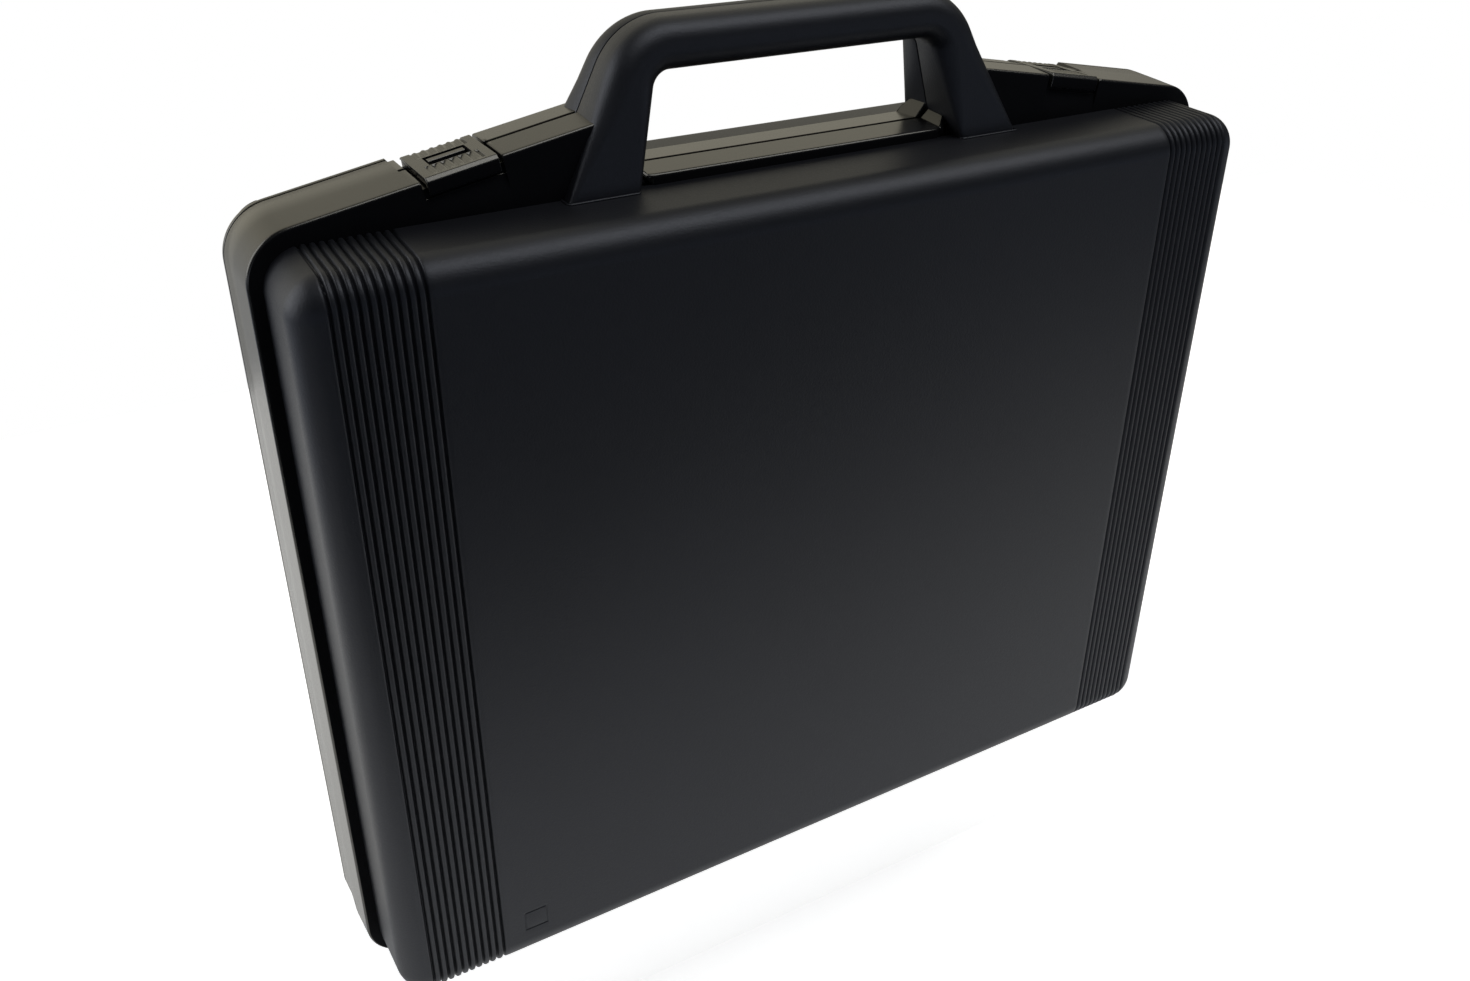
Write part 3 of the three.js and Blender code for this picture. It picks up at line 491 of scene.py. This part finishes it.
def make_rim(name, side, body):
    """A rim of even wall: a closed profile of rows carried round the columns.

    Each row stands at a depth from the parting plane and lies a distance inside the outline, along its normal.
    The whole outline swells by 1 mm from the flange to the parting plane and by 0.7 to the end of the skirt.
    """
    x, z, nx, nz, tx, tz, cx, cz, skirt, pocket, soft, back, rail, room, slide, sink = rim_columns(side).T
    skirt, pocket, rail, room = skirt > 0.5, pocket > 0.5, rail > 0.5, room > 0.5
    reach = SKIRT_SHORT - SKIRT_REACH if side < 0 else SKIRT_REACH + STEP_ROOM
    parting = np.where(skirt, reach, np.where(z > STRIP_TOP - 1, TOP_SEAM, SEAM))
    near = POCKET_ROUND - np.abs(np.abs(x) - pocket_in)
    rounded = (np.abs(x) < pocket_in + 0.01) & (near > 0) & ~pocket
    parting = parting + np.where(
        rounded, POCKET_ROUND - np.sqrt(np.maximum(0, POCKET_ROUND ** 2 - near ** 2)), 0)
    front = RIM_DEPTH - back
    floor = np.where(pocket, POCKET_FLOOR, 0.0)
    rows = []

    def tray_row(depth, inset):
        rows.append(np.stack([tx + cx * inset, np.full_like(x, side * depth), tz + cz * inset], -1))

    def row(depth, inset, relief=True):
        depth = np.broadcast_to(depth, x.shape).astype(float)
        swell = 1 - depth / RIM_DEPTH
        if side < 0:
            swell = np.where(depth >= 0, swell, 1 + 0.7 * -depth / SKIRT_REACH)
        else:
            swell = np.where(skirt, 1.7, swell)
        px = x * (1 + swell / RIM_HALF) - nx * inset + slide
        pz = z * (1 + swell / ROOF_PEAK) - nz * inset - sink
        low = RELIEF_TOP * (1 - np.abs(depth) / RELIEF)
        pz = np.where((relief | ~room) & (low > 0), np.maximum(pz, low), pz)
        rows.append(np.stack([px, side * depth, pz], -1))

    tray_row(RIM_DEPTH, 1.5)
    rows.append(np.stack([tx, side * front, tz], -1))
    if side < 0:
        # The lid's flange, its front edge and its roof. At a latch the edge drops to let the flap hang there.
        drops = np.where(pocket, POCKET_FRONT, 0.0) + soft
        turned = np.where(pocket, BROW_ROUND, RIM_ROUND)
        brow = np.where(pocket, front - BROW_BACK, front)
        row(front, turned + drops + np.where(pocket, BROW_SPREAD, 0.4))
        for a in np.radians([0, 20, 40, 60, 78]):
            row(brow - turned * (1 - np.cos(a)), turned * (1 - np.sin(a)) + drops)
        row(brow - turned, drops)
        row(np.minimum(front, FLAP_DEPTH), drops)
        row(np.minimum(front, FLAP_DEPTH), floor + soft)
        for depth in (11.0, 8.0, 4.5, 1.4):
            row(np.minimum(front - RIM_ROUND - 0.01 * depth, depth), floor + soft)
    else:
        # The base's rear edge and roof. At a latch they hollow out in a round about the latch's barrel.
        swing = np.radians(np.linspace(*POCKET_SWING, 12))
        hollow_y = LATCH_BACK - BARREL + (BARREL + BARREL_GAP) * np.cos(swing)
        hollow_w = BARREL - (BARREL + BARREL_GAP) * np.sin(swing)
        plain = [(front - RIM_ROUND * (1 - np.cos(a)), RIM_ROUND * (1 - np.sin(a)))
                 for a in np.radians([0, 20, 40, 60, 78, 90])]
        plain += [(np.minimum(front, depth), 0.0) for depth in (FLAP_DEPTH, 13.0, 11.0, 8.0, 4.5, 1.4)]
        for (depth, inset), pocket_y, pocket_w in zip(plain, hollow_y, hollow_w):
            depth = np.maximum(depth, parting + LIP_ROUND)
            row(np.where(pocket, pocket_y, depth), np.where(pocket, pocket_w, inset + soft))

    # The lip at the parting plane and, under a knuckle of the other half, a round room about the hinge's axis.
    # The room starts at meet_y, meet_z, where its circle cuts the slope of the relief under the rim.
    room_radius = KNUCKLE_RADIUS + KNUCKLE_GAP
    fall, lift = RELIEF_TOP / RELIEF, RELIEF_TOP - HINGE_HEIGHT
    meet_y = (fall * lift + np.sqrt(room_radius ** 2 * (1 + fall ** 2) - lift ** 2)) / (1 + fall ** 2)
    meet_z = RELIEF_TOP - fall * meet_y
    for away, inward in ((1.0, 0.0), (0.3, 0.3), (0.0, 1.0)):
        row(np.where(room, meet_y, parting + LIP_ROUND * away),
            np.where(room, meet_z, floor + soft + LIP_ROUND * inward))
    for a in np.linspace(-np.arctan2(HINGE_HEIGHT - meet_z, meet_y), np.pi / 2, 10):
        row(np.where(room, np.maximum(room_radius * np.cos(a), SEAM), parting),
            np.where(room, HINGE_HEIGHT + room_radius * np.sin(a), floor + soft + LIP_ROUND), relief=False)

    # The inside: a solid rail along the foot, the wall, and the shelf back to the tray.
    under = WALL + np.where(pocket, POCKET_FLOOR if side < 0 else 2 * BARREL + BARREL_GAP, 0.0)
    rail_in = np.where(rail, RAIL_HEIGHT, under)
    shelf = RIM_DEPTH - WALL
    row(parting, rail_in)
    row(np.where(rail, RAIL_DEPTH, parting), rail_in)
    row(np.where(rail, RAIL_DEPTH, parting), under)
    row(shelf, under)
    tray_row(shelf, WALL)
    tray_row(shelf + 1.4, 1.5)
    rows = np.stack(rows)
    rim = make_piece(name, [(rows, grid_faces(len(rows), len(x), close_rows=True, close_columns=True))], body)
    rim.data.materials.append(rim_plastic)
    # Painted shade: the flange's faces that look away from the parting plane, past FLANGE_FROM, get the darker
    # matt copy of the plastic.
    paint_faces(rim, painted_shade_plastic, lambda centres, normals: (
        (normals[:, 1] * side > 0.9) & (centres[:, 1] * side > FLANGE_FROM)))
    return rim


lid_rim = make_rim("lid_rim", -1, "lid")
base_rim = make_rim("base_rim", 1, "base")


# Handle: a hollow arch of the same plastic, split down its middle, half moulded on the lid and half on the
# base. Its legs stand on the trays' tops, crisp at the feet and rounded towards the bar.
FOOT_HALF, LEG_LEAN, GRIP_HALF, GRIP_LEAN, FOOT_SUNK = 108.3, 0.5, 78.1, 0.293, 1.6
HANDLE_TOP, BAR_UNDER, SHOULDER, GRIP_ROUND = 416.8, 397.5, 30.2, 7.5
LEG_DEPTH, LEG_TAPER, REAR_RELIEF, BEAD = 23.2, 0.107, 3.5, 0.55
FOOT_ROUND, BAR_ROUND, ROUND_HEIGHT = 1.6, 8.5, 38.0


def handle_outline(inset):
    """The arch seen from the front, moved inwards by inset: points and outward normals, anticlockwise.

    The legs' edges are straight and lean in with height, by the lean times the height over the tray's top. An
    arc that touches both leads from each edge into the level bar, above it and below it.
    """
    leg_angle, grip_angle = np.arctan(LEG_LEAN), np.arctan(GRIP_LEAN)

    def outer(z):
        return FOOT_HALF - LEG_LEAN * (z - TRAY_TOP) - inset * np.hypot(1, LEG_LEAN)

    def inner(z):
        return GRIP_HALF - GRIP_LEAN * (z - TRAY_TOP) + inset * np.hypot(1, GRIP_LEAN)

    def add(x, z, angle):
        rows.append((x, z, np.cos(angle), np.sin(angle)))

    big, small = SHOULDER - inset, GRIP_ROUND + inset
    big_z, small_z = HANDLE_TOP - inset - big, BAR_UNDER + inset - small
    big_x = outer(big_z) - big * np.hypot(1, LEG_LEAN)
    small_x = inner(small_z) - small * np.hypot(1, GRIP_LEAN)
    floor = TRAY_TOP + (inset if inset else -FOOT_SUNK)
    rows = [(x, BAR_UNDER + inset, 0, -1) for x in np.linspace(0, small_x, 7)[:-1]]
    for a in np.linspace(np.pi / 2, grip_angle, 13):
        add(small_x + small * np.cos(a), small_z + small * np.sin(a), a + np.pi)
    for z in np.linspace(small_z + small * np.sin(grip_angle), floor, 14)[1:]:
        add(inner(z), z, grip_angle + np.pi)
    for z in np.linspace(floor, big_z + big * np.sin(leg_angle), 14)[:-1]:
        add(outer(z), z, leg_angle)
    for a in np.linspace(leg_angle, np.pi / 2, 25):
        add(big_x + big * np.cos(a), big_z + big * np.sin(a), a)
    for x in np.linspace(big_x, 0, 7)[1:]:
        add(x, HANDLE_TOP - inset, np.pi / 2)
    right = np.array(rows)
    left = right[::-1].copy()
    left[:, [0, 2]] *= -1
    return np.concatenate([right, left[1:-1]]).T


def foot_beads(rows, z):
    """A fine bead round each foot, where it grows out of the tray: a small circle carried along the outline."""
    feet = rows[:, np.abs(z - TRAY_TOP + FOOT_SUNK) < 0.01]
    turn = np.linspace(0, 2 * np.pi, 13)[:-1, None]
    up = np.array([0.0, 0.0, 1.0])
    parts = []
    for hand in (-1, 1):
        foot = feet[:, np.sign(feet[0, :, 0]) == hand]
        ring = np.concatenate([foot[2:, 0], foot[2:, -1][::-1]])
        ring = ring[np.append(True, np.linalg.norm(np.diff(ring, axis=0), axis=1) > 0.05)]
        ring[:, 2] = TRAY_TOP
        along = np.gradient(ring, axis=0)
        along /= np.linalg.norm(along, axis=1, keepdims=True)
        bead = ring[:, None] + BEAD * (np.cross(along, up)[:, None] * np.cos(turn) + up * np.sin(turn))
        count = len(turn)
        ends = np.arange(count) + np.array([[0], [count * (len(ring) - 1)]])
        parts.append((bead, grid_faces(len(ring), count, close_columns=True), ends))
    return parts


def make_handle(name, side, body):
    """Half of the arch: straight sides, a quarter round whose radius grows with height, and a face.

    The face lies in one plane that leans back towards the bar. The wall is even and open at the parting plane.
    """
    parts = []
    edges = []
    for inset, lips in ((0.0, ((SEAM, 0.5), (SEAM + 0.15, 0.15), (SEAM + 0.5, 0.0))), (WALL, ((SEAM, 0.0),))):
        x, z, nx, nz = handle_outline(inset)
        reach = LEG_DEPTH - inset - (REAR_RELIEF if side > 0 else 0)
        share = np.clip((z - TRAY_TOP) / ROUND_HEIGHT, 0, 1)
        rounding = np.maximum(0.6, FOOT_ROUND + (BAR_ROUND - FOOT_ROUND) * share - inset)
        rows = [np.stack([x - nx * lip, np.full_like(x, depth), z - nz * lip], -1) for depth, lip in lips]
        bends = np.linspace(0, np.pi / 2, 13 if inset == 0 else 6)
        for a, further in [(a, 0.0) for a in bends] + [(np.pi / 2, 0.25)]:
            move = rounding * (1 - np.cos(a)) + further
            px, pz = x - nx * move, z - nz * move
            depth = reach - LEG_TAPER * (pz - TRAY_TOP) - rounding * (1 - np.sin(a))
            rows.append(np.stack([px, depth, pz], -1))
        rows = np.stack(rows) * np.array([1, side, 1])
        parts.append((rows, grid_faces(rows.shape[0], rows.shape[1], close_columns=True)))
        parts.append((rows[-1], np.arange(rows.shape[1])[None]))
        edges.append(rows[0])
        if inset == 0:
            parts += foot_beads(rows, z)
    strip = np.stack(edges)
    parts.append((strip, grid_faces(2, strip.shape[1], close_columns=True)))
    handle = make_piece(name, parts, body)
    handle.data.materials.append(shell_plastic)
    return handle


lid_handle = make_handle("lid_handle", -1, "lid")
base_handle = make_handle("base_handle", 1, "base")


# Hinges: under the foot, left and right, five knuckles of the same plastic, three moulded on the base and two
# on the lid, turn on a drawn steel pin. The latches' thinner pins are of the same wire. The pins are the
# frame's own solids.
PIN_BORE, KNUCKLE_SHORT = 1.55, 0.2


def make_knuckles(name, side, body):
    """Knuckles of one half: each a rod whose rounded outline, x and radius, is turned about the hinge axis."""
    parts = []
    turn = np.linspace(0, 2 * np.pi, 33)[:-1]
    length = KNUCKLE_LENGTH - KNUCKLE_SHORT
    outline = np.array([
        (KNUCKLE_SHORT, PIN_BORE), (KNUCKLE_SHORT, 3.2), (0.32, 3.48), (0.6, KNUCKLE_RADIUS),
        (length - 0.4, KNUCKLE_RADIUS), (length - 0.12, 3.48), (length, 3.2), (length, PIN_BORE)])
    along, radius = outline[:, :1], outline[:, 1:]
    for start, _ in knuckle_spans(side):
        for hand in (-1, 1):
            rings = np.stack(np.broadcast_arrays(
                hand * (start + along), radius * np.cos(turn), HINGE_HEIGHT + radius * np.sin(turn)), -1)
            parts.append((rings, grid_faces(len(outline), len(turn), close_rows=True, close_columns=True)))
    knuckles = make_piece(name, parts, body)
    knuckles.data.materials.append(shell_plastic)
    return knuckles


lid_knuckles = make_knuckles("lid_knuckles", -1, "lid")
base_knuckles = make_knuckles("base_knuckles", 1, "base")

# Drawn steel wire: light grey metal with fine marks, drawn at 0.3 mm, that make its gleam uneven.
pin_steel = bpy.data.materials.new("drawn_steel_wire")
steel = empty_tree(pin_steel)
steel_place = add_node(steel, "ShaderNodeTexCoord").outputs["Object"]
steel_marks = add_node(steel, "ShaderNodeTexNoise", {"Vector": steel_place, "Scale": 3300.0, "Detail": 2.0})
steel_rough = add_node(steel, "ShaderNodeMapRange", {
    "Value": steel_marks.outputs[0], "To Min": 0.22, "To Max": 0.42})
steel_tint = add_node(steel, "ShaderNodeMix", {
    0: steel_marks.outputs[0], 6: to_linear("#a4a6a8"), 7: to_linear("#bfc1c3")}, data_type="RGBA")
steel_shader = add_node(steel, "ShaderNodeBsdfPrincipled", {
    "Base Color": steel_tint.outputs[2], "Metallic": 1.0, "Roughness": steel_rough.outputs[0]})
add_node(steel, "ShaderNodeOutputMaterial", {"Surface": steel_shader.outputs[0]})
for pin_node in ("hinge_pin_left", "hinge_pin_right", "latch_pin_left", "latch_pin_right"):
    pin_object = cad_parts[pin_node]
    pin_object.data.materials.clear()
    pin_object.data.materials.append(pin_steel)


# Latches: two flip latches moulded in the same black plastic with a smoother finish. Each turns on a pin in
# the base and has two rows of six finger ribs, with a slot and a sunk bar between them. Its bevelled front
# edge turns down into a flap that hooks over the lid's rim.
LATCH_FRONT, LATCH_THICK, LATCH_PROUD, FLAP_THICK, FLAP_DROP = 17.5, 3.0, 1.0, 1.9, 6.5
LATCH_CORNER, LATCH_ROUND = 1.5, 0.35
ROWS_HALF, RIB_COUNT, RIB_ROWS, ROW_FLOOR, RIB_DEPTH = 10.3, 6, ((-14.2, -5.3), (5.4, 15.6)), 0.05, 0.6
SLOT_HALF, SLOT, SLOT_DEPTH, BAR, BAR_SUNK = 8.3, (-4.7, 4.6), 2.4, (0.2, 3.5), 0.3
# The bevelled front edge: how far back, how far down, and the normal's angle from upright.
LIP = ((0, 1.9, 90), (0, 1.6, 84), (0.06, 1.4, 66), (0.22, 1.18, 50), (0.7, 0.7, 45), (1.18, 0.22, 42),
       (1.4, 0.06, 24), (1.6, 0, 6), (1.9, 0, 0))

# The same plastic off the most polished part of the mould: the firmest gloss of the case, and hardly a grain.
latch_plastic = plastic_material("smooth_black_polypropylene", "#0e0f0f", "#141413", 0.27, 0.5, 0.02, 0.03,
                                 1.0, "#fffdf4")


def latch_section():
    """The latch's section, v to the rear and w up, with normals: lip, top, barrel, underside and flap.

    The barrel is an arc about the pin, whose angle runs from upright over the rear to the underside. All else
    is straight.
    """
    rows = [(-LATCH_FRONT + away, -sunk, -np.sin(np.radians(angle)), np.cos(np.radians(angle)))
            for away, sunk, angle in LIP]
    marks = list(np.linspace(-12.5, -6.3, 5)) + [1.2, 2.3, 7, 8.5, 10, 11.5]
    for start, end in (*RIB_ROWS, SLOT, BAR):
        marks += [start - 0.25, start - 0.1, start + 0.1, start + 0.35]
        marks += [end - 0.35, end - 0.1, end + 0.1, end + 0.25]
    axis_v = LATCH_BACK - BARREL
    rows += [(v, 0, 0, 1) for v in sorted(mark for mark in marks if mark < axis_v)]
    for a in [*np.linspace(np.pi / 2, -np.pi / 2, 33), *np.linspace(-np.pi / 2, -np.pi - 0.32, 9)[1:]]:
        rows.append((axis_v + BARREL * np.cos(a), -BARREL + BARREL * np.sin(a), np.cos(a), np.sin(a)))
    flap_in = -LATCH_FRONT + FLAP_THICK
    rows += [(7.5, -LATCH_THICK, 0, -1), (-5.0, -LATCH_THICK, 0, -1), (flap_in + 0.6, -LATCH_THICK, 0, -1),
             (flap_in, -LATCH_THICK - 0.6, 1, 0), (flap_in, -FLAP_DROP + 0.3, 1, 0),
             (flap_in - 0.3, -FLAP_DROP, 0, -1), (-LATCH_FRONT + 0.5, -FLAP_DROP, 0, -1),
             (-LATCH_FRONT + 0.1, -FLAP_DROP + 0.2, -0.7, -0.7), (-LATCH_FRONT, -FLAP_DROP + 0.6, -1, 0)]
    return np.array(rows).T


def step_between(value, start, end, soft):
    """1 well inside start to end and 0 outside, with a straight ramp of width soft on either side."""
    return np.clip((value - start) / soft + 0.5, 0, 1) * np.clip((end - value) / soft + 0.5, 0, 1)


def make_latch(name, hand, node):
    """A latch: its section carried across u and sunk along its normal by the ribs' valleys and the slot.

    The valleys follow a cosine of u with six crests. The two rear corners are bevelled by squeezing the flat
    borders, and the side edges are rounded.
    """
    v, w, nv, nw = latch_section()
    border = np.array([10.45, 10.6, 11.2, 12.4, 13.4, 13.75, 13.88, 13.98, 14.06, LATCH_HALF])
    slot_ends = SLOT_HALF + np.array([-1, -0.8, -0.15, 0.1])
    u = np.concatenate([np.linspace(-ROWS_HALF, ROWS_HALF, 73), border, slot_ends])
    u = np.unique(np.round(np.concatenate([u, -u]), 4))
    barrel_v = LATCH_BACK - BARREL + BARREL * np.arccos(np.clip(nw, -1, 1))
    uu, vv = np.meshgrid(u, np.where(nw > 0.999, v, np.where(v > 0, barrel_v, -20)))
    ribs = 0.5 + 0.5 * np.cos(2 * np.pi * (uu / (2 * ROWS_HALF / RIB_COUNT) + 0.5))
    cut = np.zeros_like(uu)
    for start, end in RIB_ROWS:
        row_area = step_between(vv, start, end, 0.5) * step_between(np.abs(uu), -1, ROWS_HALF + 0.1, 0.25)
        cut = np.maximum(cut, row_area * (ROW_FLOOR + RIB_DEPTH * (1 - ribs)))
    slot_area = step_between(vv, *SLOT, 0.2) * step_between(np.abs(uu), -1, SLOT_HALF, 0.2)
    bar_area = step_between(vv, *BAR, 0.25) * step_between(np.abs(uu), -1, SLOT_HALF - 0.8, 0.3)
    cut = np.maximum(cut, slot_area * (SLOT_DEPTH - (SLOT_DEPTH - BAR_SUNK) * bar_area))
    edge = np.clip((np.abs(uu) - (LATCH_HALF - LATCH_ROUND)) / LATCH_ROUND, 0, 1)
    cut = cut * (nw > 0.2)[:, None] + LATCH_ROUND * (1 - np.sqrt(np.maximum(0, 1 - edge ** 2)))
    limit = LATCH_HALF - np.clip(v - (LATCH_BACK - LATCH_CORNER), 0, LATCH_CORNER)
    squeeze = ((limit - ROWS_HALF) / (LATCH_HALF - ROWS_HALF))[:, None]
    spread = ROWS_HALF + (np.abs(uu) - ROWS_HALF) * squeeze
    uu = np.where(np.abs(uu) > ROWS_HALF, np.sign(uu) * spread, uu)
    pv = v[:, None] - nv[:, None] * cut
    pw = w[:, None] - nw[:, None] * cut
    middle = np.array([hand * LATCH_CENTRE, 0, ROOF_PEAK + LATCH_PROUD - ROOF_SLOPE * LATCH_CENTRE])
    lean = hand * np.sin(tilt)
    axes = np.array([[np.cos(tilt), 0, -lean], [0, 1, 0], [lean, 0, np.cos(tilt)]])
    points = middle + np.stack([uu, pv, pw], -1) @ axes
    ends = np.arange(len(v)) * len(u) + np.array([[0], [len(u) - 1]])
    latch = make_piece(name, [(points, grid_faces(len(v), len(u), close_rows=True), ends)], node, 30.0)
    latch.data.materials.append(latch_plastic)

    # Painted shade: the flap's front face and the slot's walls and floor below the bar get the darker matt copy
    # of the plastic.
    def painted_shade_faces(centres, normals):
        across, along, up = ((centres - middle) @ axes.T).T
        flap = (normals[:, 1] < -0.97) & (along < -LATCH_FRONT + 0.1)
        in_slot = (np.abs(across) < SLOT_HALF + 0.1) & (along > SLOT[0] - 0.1) & (along < SLOT[1] + 0.1)
        return flap | in_slot & (up < -BAR_SUNK - 0.12) & (up > -SLOT_DEPTH - 0.2)

    paint_faces(latch, painted_shade_plastic, painted_shade_faces)
    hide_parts(node)
    return latch


left_latch = make_latch("left_flip_latch", -1, "latch_left")
right_latch = make_latch("right_flip_latch", 1, "latch_right")


# Foam: two pads of dark open-cell polyurethane pressed into the trays. The lid's is cut as an egg crate, whose
# peaks hold the knives on the base's flat pad when the case is shut.
FOAM_GAP, LID_FOAM, BASE_FOAM, FOAM_ROUND = 0.4, 18.0, 22.0, 2.5
CRATE_PITCH, CRATE_DEPTH, CRATE_BORDER, SETTLE, SETTLE_HIGH = 24.0, 8.0, 14.0, 0.9, 160.0

# Polyurethane foam: charcoal, dead matt, with open cells of about 0.8 mm drawn at 1.4 mm.
foam_material = bpy.data.materials.new("open_cell_polyurethane_foam")
pad = empty_tree(foam_material)
pad_place = add_node(pad, "ShaderNodeTexCoord").outputs["Object"]
pad_cells = add_node(pad, "ShaderNodeTexVoronoi", {"Vector": pad_place, "Scale": 710.0})
pad_cloud = add_node(pad, "ShaderNodeTexNoise", {"Vector": pad_place, "Scale": 60.0, "Detail": 4.0})
pad_pores = add_node(pad, "ShaderNodeMapRange", {"Value": pad_cells.outputs["Distance"], "From Max": 0.7})
# Painted shade: the tone is darkest in the cells' hollows, where the bump sinks, and a noise varies it at
# random.
pore_shade_and_mottle = add_node(pad, "ShaderNodeMath", {0: pad_pores.outputs[0], 1: pad_cloud.outputs[0]},
                     operation="MULTIPLY")
pad_tint = add_node(pad, "ShaderNodeMix", {
    0: pore_shade_and_mottle.outputs[0], 6: to_linear("#2c2e32"), 7: to_linear("#4b4e54")}, data_type="RGBA")
pad_bump = add_node(pad, "ShaderNodeBump", {
    "Height": pad_pores.outputs[0], "Strength": 0.7, "Distance": 0.0006})
pad_shader = add_node(pad, "ShaderNodeBsdfPrincipled", {
    "Base Color": pad_tint.outputs[2], "Roughness": 0.95, "Normal": pad_bump.outputs[0]})
add_node(pad, "ShaderNodeOutputMaterial", {"Surface": pad_shader.outputs[0]})


def make_foam(name, side, thick, crate, body, node):
    """A pad that follows the tray inside: a rounded edge towards the tray's face, and a free face that waves.

    The egg crate sinks by half its depth times one minus cosine of x times cosine of z, faded out near the
    edge. The flat pad only settles towards its ends, by the sixth power of the distance from its middle.
    """
    outer = TRAY_DEPTH - WALL - FOAM_GAP
    start = outer - thick
    face_round = TRAY_EDGE - WALL - FOAM_GAP
    reach = TRAY_CORNER - WALL - FOAM_GAP - TRAY_DRAFT
    middle = (core_low + core_high) / 2
    gx = np.linspace(-core_x, core_x, 173)
    gz = np.linspace(core_low, core_high, 133)
    cx, cz, angle = core_ring(gx, gz, 11)

    def wave(x, z):
        if not crate:
            return SETTLE * ((np.abs(x) / core_x) ** 6 + (np.abs(z - middle) / SETTLE_HIGH) ** 6)
        away = reach + np.minimum(core_x - np.abs(x), core_high - middle - np.abs(z - middle))
        lattice = np.cos(2 * np.pi * x / CRATE_PITCH) * np.cos(2 * np.pi * (z - middle) / CRATE_PITCH)
        return CRATE_DEPTH * np.clip(away / CRATE_BORDER, 0, 1) * (0.5 - 0.5 * lattice)

    # Each ring: how far outwards it lies, its depth, and how much of the wave it takes.
    steps = [(rho, start, 1.0) for rho in np.linspace(0, reach - FOAM_ROUND, 4)]
    steps += [(reach - FOAM_ROUND * (1 - np.sin(a)), start + FOAM_ROUND * (1 - np.cos(a)), 1 - np.sin(a) ** 2)
              for a in np.linspace(0, np.pi / 2, 7)[1:]]
    steps += [(max(0.0, reach - face_round * (1 - np.cos(a))), outer - face_round * (1 - np.sin(a)), 0.0)
              for a in np.linspace(0, np.pi / 2, 9)]
    rho, depth, waves = np.array(steps + [(0.0, outer, 0.0)]).T[..., None]
    x, z = cx + rho * np.cos(angle), cz + rho * np.sin(angle)
    rings = np.stack([x, side * (depth + waves * wave(x, z)), z], -1)
    xx, zz = np.meshgrid(gx, gz)
    face = np.stack([xx, side * (start + wave(xx, zz)), zz], -1)
    back = np.stack([xx, np.full_like(xx, side * outer), zz], -1)
    flat_faces = grid_faces(len(gz), len(gx))
    foam = make_piece(name, [(rings, grid_faces(len(rings), len(cx), close_columns=True)),
                             (face, flat_faces), (back, flat_faces)], body, 60.0)
    foam.data.materials.append(foam_material)
    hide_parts(node)
    return foam


lid_foam = make_foam("lid_egg_crate_foam", -1, LID_FOAM, True, "lid", "lid_foam")
base_foam = make_foam("base_flat_foam", 1, BASE_FOAM, False, "base", "base_foam")
